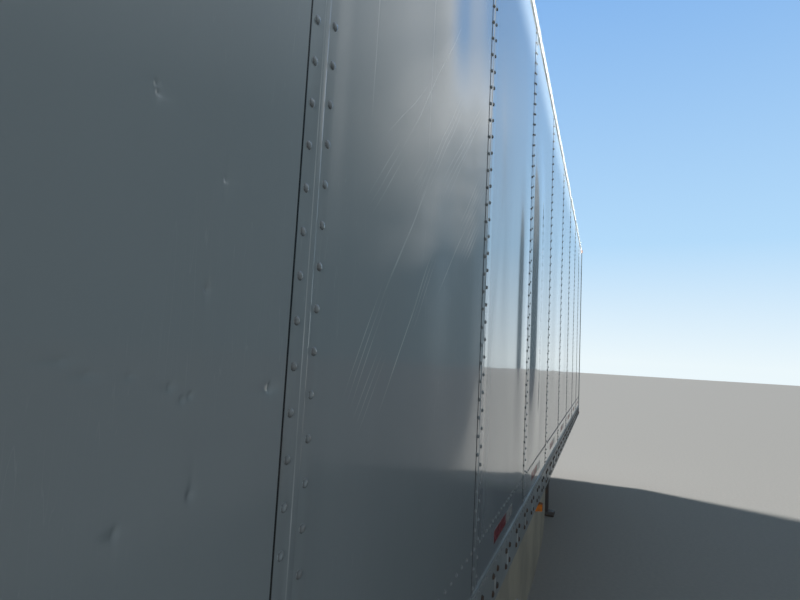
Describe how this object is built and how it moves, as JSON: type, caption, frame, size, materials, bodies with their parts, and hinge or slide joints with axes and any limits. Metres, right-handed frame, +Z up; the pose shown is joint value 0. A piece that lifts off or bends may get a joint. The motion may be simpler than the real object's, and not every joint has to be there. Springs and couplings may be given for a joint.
{
  "type": "dry van semi trailer",
  "caption": "Box semi trailer with riveted sheet walls, rear swing doors, landing legs, side skirts and a sliding wheel tandem.",
  "frame": {"origin": "on the ground, under the middle of the trailer's box", "axes": "+X forwards to the kingpin end, +Y to the road side (left), +Z up"},
  "size_m": [16.309, 2.626, 4.115],
  "materials": {
    "painted_sheet": "aged gloss white",
    "painted_rail": "aged gloss white",
    "painted_frame": "worn white",
    "bare_aluminium": "weathered",
    "galvanised_steel": "dull zinc",
    "frame_steel": "worn black",
    "forged_steel": "greased",
    "cast_fittings": "weathered",
    "cast_iron": "rusty",
    "spring_steel": "rusty black",
    "floor_wood": "worn hardwood",
    "rubber": "weathered",
    "tyre": "dusty",
    "wheel_paint": "dusty white",
    "tank_paint": "gloss black",
    "skirt_sheet": "moulded cream white",
    "amber_lens": "clear moulded",
    "red_lens": "clear moulded"
  },
  "bodies": {
    "trailer": {"amber_lamps": "amber_lens", "bottom_rails": "painted_rail", "coupler_plate": "frame_steel", "cross_members": "frame_steel", "dock_bumpers": "rubber", "floor_boards": "floor_wood", "front_corner_posts": "painted_rail", "hinge_brackets": "galvanised_steel", "kingpin": "forged_steel", "leg_braces": "frame_steel", "leg_drive": "frame_steel", "leg_feet": "frame_steel", "leg_tubes": "frame_steel", "nose_couplings": "cast_fittings", "nose_panels": "painted_sheet", "nose_rails": "painted_rail", "rear_frame": "painted_frame", "rear_guard": "frame_steel", "red_lamps": "red_lens", "roof_bows": "galvanised_steel", "roof_sheet": "bare_aluminium", "side_panels": "painted_sheet", "skirt_struts": "galvanised_steel", "skirts": "skirt_sheet", "slider_rails": "frame_steel", "top_rails": "painted_rail"},
    "left_door": {"left_door_hinges": "galvanised_steel", "left_door_panel": "painted_sheet", "left_lock_rods": "galvanised_steel", "left_rod_guides": "galvanised_steel"},
    "right_door": {"right_door_hinges": "galvanised_steel", "right_door_panel": "painted_sheet", "right_lock_rods": "galvanised_steel", "right_rod_guides": "galvanised_steel"},
    "tandem": {"air_tanks": "tank_paint", "axles": "frame_steel", "brake_chambers": "cast_fittings", "equalizers": "frame_steel", "leaf_springs": "spring_steel", "mud_flaps": "rubber", "spring_hangers": "frame_steel", "tandem_frame": "frame_steel", "torque_rods": "frame_steel"},
    "front_left_wheels": {"front_left_disc_wheels": "wheel_paint", "front_left_hub_and_drum": "cast_iron", "front_left_tyres": "tyre"},
    "front_right_wheels": {"front_right_disc_wheels": "wheel_paint", "front_right_hub_and_drum": "cast_iron", "front_right_tyres": "tyre"},
    "rear_left_wheels": {"rear_left_disc_wheels": "wheel_paint", "rear_left_hub_and_drum": "cast_iron", "rear_left_tyres": "tyre"},
    "rear_right_wheels": {"rear_right_disc_wheels": "wheel_paint", "rear_right_hub_and_drum": "cast_iron", "rear_right_tyres": "tyre"}
  },
  "joints": [
    {"name": "left_door_swing", "type": "hinge", "parent": "trailer", "child": "left_door", "pos_m": [-8.1285, 1.3, 0], "axis": [0, 0, -1], "range_deg": [0, 270]},
    {"name": "right_door_swing", "type": "hinge", "parent": "trailer", "child": "right_door", "pos_m": [-8.1285, -1.3, 0], "axis": [0, 0, 1], "range_deg": [0, 270]},
    {"name": "tandem_slide", "type": "slide", "parent": "trailer", "child": "tandem", "axis": [1, 0, 0], "range_m": [0, 2.4384]},
    {"name": "front_left_wheel_spin", "type": "hinge", "parent": "tandem", "child": "front_left_wheels", "pos_m": [-5.572, 0.9845, 0.51], "axis": [0, 1, 0], "continuous": true},
    {"name": "front_right_wheel_spin", "type": "hinge", "parent": "tandem", "child": "front_right_wheels", "pos_m": [-5.572, -0.9845, 0.51], "axis": [0, 1, 0], "continuous": true},
    {"name": "rear_left_wheel_spin", "type": "hinge", "parent": "tandem", "child": "rear_left_wheels", "pos_m": [-6.817, 0.9845, 0.51], "axis": [0, 1, 0], "continuous": true},
    {"name": "rear_right_wheel_spin", "type": "hinge", "parent": "tandem", "child": "rear_right_wheels", "pos_m": [-6.817, -0.9845, 0.51], "axis": [0, 1, 0], "continuous": true}
  ]
}
